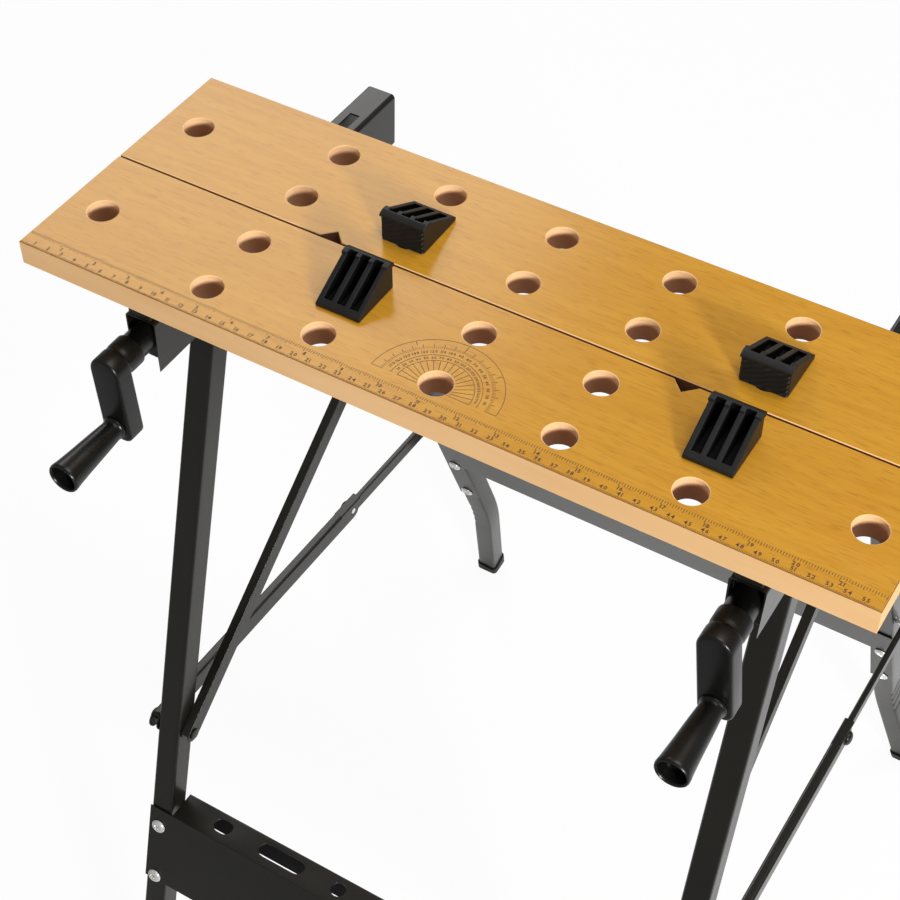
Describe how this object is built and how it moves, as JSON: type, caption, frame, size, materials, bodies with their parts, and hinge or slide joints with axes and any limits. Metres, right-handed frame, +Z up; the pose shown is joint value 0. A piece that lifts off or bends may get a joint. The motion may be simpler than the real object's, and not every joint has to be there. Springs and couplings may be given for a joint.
{
  "type": "folding workbench",
  "caption": "Folding workbench with a drilled split top that clamps with crank-driven screws, swivel bench dogs and a hinged black steel leg frame with struts and folding braces.",
  "frame": {"origin": "middle of the bench's outline on the floor, under the frame", "axes": "+X along the jaws to the user's right, +Y from the user to the back, +Z up"},
  "size_m": [0.56, 0.646, 0.8206],
  "materials": {
    "beech_board": "beech-print laminate on fibreboard with plain edges",
    "black_steel": "satin black powder coat on folded sheet and square tube",
    "black_plastic": "matte moulded black",
    "gloss_black": "glossy moulded black",
    "bright_zinc": "bright zinc plating"
  },
  "bodies": {
    "front_frame": {"step_panel": "black_steel", "front_leg_left": "black_steel", "front_foot_left": "black_plastic", "low_pivot_bolt_left": "black_steel", "step_screw_left_1": "bright_zinc", "step_screw_left_2": "bright_zinc", "front_leg_right": "black_steel", "front_foot_right": "black_plastic", "low_pivot_bolt_right": "black_steel", "step_screw_right_1": "bright_zinc", "step_screw_right_2": "bright_zinc"},
    "top": {"front_jaw": "beech_board", "channel_left": "black_steel", "end_plate_left": "gloss_black", "front_block_left": "black_plastic", "front_pivot_bolt_left": "bright_zinc", "rear_pivot_bolt_left": "bright_zinc", "channel_right": "black_steel", "end_plate_right": "gloss_black", "front_block_right": "black_plastic", "front_pivot_bolt_right": "bright_zinc", "rear_pivot_bolt_right": "bright_zinc"},
    "rear_legs": {"crossbar": "black_steel", "rear_leg_left": "black_steel", "rear_foot_left": "black_plastic", "crossbar_screw_left_1": "bright_zinc", "crossbar_screw_left_2": "bright_zinc", "rear_leg_right": "black_steel", "rear_foot_right": "black_plastic", "crossbar_screw_right_1": "bright_zinc", "crossbar_screw_right_2": "bright_zinc"},
    "sliding_jaw": {"rear_jaw": "beech_board", "slide_block_left": "black_plastic", "travelling_nut_left": "bright_zinc", "slide_block_right": "black_plastic", "travelling_nut_right": "bright_zinc"},
    "strut_left": {"strut_left": "black_steel", "strut_rivet_left": "bright_zinc"},
    "brace_front_left": {"brace_front_left": "black_steel", "knee_rivet_left": "bright_zinc"},
    "brace_rear_left": {"brace_rear_left": "black_steel", "brace_pin_left": "bright_zinc"},
    "crank_left": {"crank_left": "gloss_black", "clamp_screw_left": "bright_zinc"},
    "crank_grip_left": {"crank_grip_left": "gloss_black"},
    "front_dog_left": {"front_dog_left": "black_plastic"},
    "rear_dog_left": {"rear_dog_left": "black_plastic"},
    "strut_right": {"strut_right": "black_steel", "strut_rivet_right": "bright_zinc"},
    "brace_front_right": {"brace_front_right": "black_steel", "knee_rivet_right": "bright_zinc"},
    "brace_rear_right": {"brace_rear_right": "black_steel", "brace_pin_right": "bright_zinc"},
    "crank_right": {"crank_right": "gloss_black", "clamp_screw_right": "bright_zinc"},
    "crank_grip_right": {"crank_grip_right": "gloss_black"},
    "front_dog_right": {"front_dog_right": "black_plastic"},
    "rear_dog_right": {"rear_dog_right": "black_plastic"}
  },
  "joints": [
    {"name": "top_fold", "type": "hinge", "parent": "front_frame", "child": "top", "pos_m": [0, -0.117, 0.727], "axis": [1, 0, 0], "range_deg": [0, 44]},
    {"name": "rear_leg_fold", "type": "hinge", "parent": "top", "child": "rear_legs", "pos_m": [0, 0.0224, 0.727], "axis": [1, 0, 0], "range_deg": [-71, 0.5]},
    {"name": "jaw_slide", "type": "slide", "parent": "top", "child": "sliding_jaw", "axis": [0, 1, 0], "range_m": [0, 0.1]},
    {"name": "strut_left_swing", "type": "hinge", "parent": "front_frame", "child": "strut_left", "pos_m": [-0.19818, -0.21499, 0.36], "axis": [1, 0, 0], "range_deg": [-0.5, 21]},
    {"name": "brace_left_lift", "type": "hinge", "parent": "front_frame", "child": "brace_front_left", "pos_m": [-0.22568, -0.21499, 0.36], "axis": [1, 0, 0], "range_deg": [-0.5, 46.5]},
    {"name": "brace_left_knee", "type": "hinge", "parent": "brace_front_left", "child": "brace_rear_left", "pos_m": [-0.22568, 0.04667, 0.34659], "axis": [1, 0, 0], "range_deg": [-144.5, 0.5]},
    {"name": "crank_left_turn", "type": "hinge", "parent": "top", "child": "crank_left", "pos_m": [-0.2047, -0.1821, 0.7445], "axis": [0, -1, 0], "range_deg": [-10, 9010]},
    {"name": "grip_left_spin", "type": "hinge", "parent": "crank_left", "child": "crank_grip_left", "pos_m": [-0.2027, -0.25, 0.70054], "axis": [0, 1, 0], "continuous": true},
    {"name": "front_dog_left_swivel", "type": "hinge", "parent": "top", "child": "front_dog_left", "pos_m": [-0.0769, -0.1291, 0.8], "axis": [0, 0, 1], "continuous": true},
    {"name": "rear_dog_left_swivel", "type": "hinge", "parent": "sliding_jaw", "child": "rear_dog_left", "pos_m": [-0.0769, -0.0776, 0.8], "axis": [0, 0, 1], "continuous": true},
    {"name": "strut_right_swing", "type": "hinge", "parent": "front_frame", "child": "strut_right", "pos_m": [0.19818, -0.21499, 0.36], "axis": [1, 0, 0], "range_deg": [-0.5, 21]},
    {"name": "brace_right_lift", "type": "hinge", "parent": "front_frame", "child": "brace_front_right", "pos_m": [0.22568, -0.21499, 0.36], "axis": [1, 0, 0], "range_deg": [-0.5, 46.5]},
    {"name": "brace_right_knee", "type": "hinge", "parent": "brace_front_right", "child": "brace_rear_right", "pos_m": [0.22568, 0.04667, 0.34659], "axis": [1, 0, 0], "range_deg": [-144.5, 0.5]},
    {"name": "crank_right_turn", "type": "hinge", "parent": "top", "child": "crank_right", "pos_m": [0.2047, -0.1821, 0.7445], "axis": [0, -1, 0], "range_deg": [-10, 9010]},
    {"name": "grip_right_spin", "type": "hinge", "parent": "crank_right", "child": "crank_grip_right", "pos_m": [0.20968, -0.25, 0.70078], "axis": [0, 1, 0], "continuous": true},
    {"name": "front_dog_right_swivel", "type": "hinge", "parent": "top", "child": "front_dog_right", "pos_m": [0.1616, -0.1291, 0.8], "axis": [0, 0, 1], "continuous": true},
    {"name": "rear_dog_right_swivel", "type": "hinge", "parent": "sliding_jaw", "child": "rear_dog_right", "pos_m": [0.1616, -0.0776, 0.8], "axis": [0, 0, 1], "continuous": true}
  ],
  "couplings": [
    {"joint": "rear_leg_fold", "follows": "top_fold", "ratio": -1.5991},
    {"joint": "strut_left_swing", "follows": "top_fold", "ratio": 0.46846},
    {"joint": "brace_left_lift", "follows": "top_fold", "ratio": 1.0389},
    {"joint": "brace_left_knee", "follows": "top_fold", "ratio": -3.2627},
    {"joint": "crank_left_turn", "follows": "jaw_slide", "rad_per_m": 1570.8},
    {"joint": "strut_right_swing", "follows": "top_fold", "ratio": 0.46846},
    {"joint": "brace_right_lift", "follows": "top_fold", "ratio": 1.0389},
    {"joint": "brace_right_knee", "follows": "top_fold", "ratio": -3.2627},
    {"joint": "crank_right_turn", "follows": "jaw_slide", "rad_per_m": 1570.8}
  ]
}
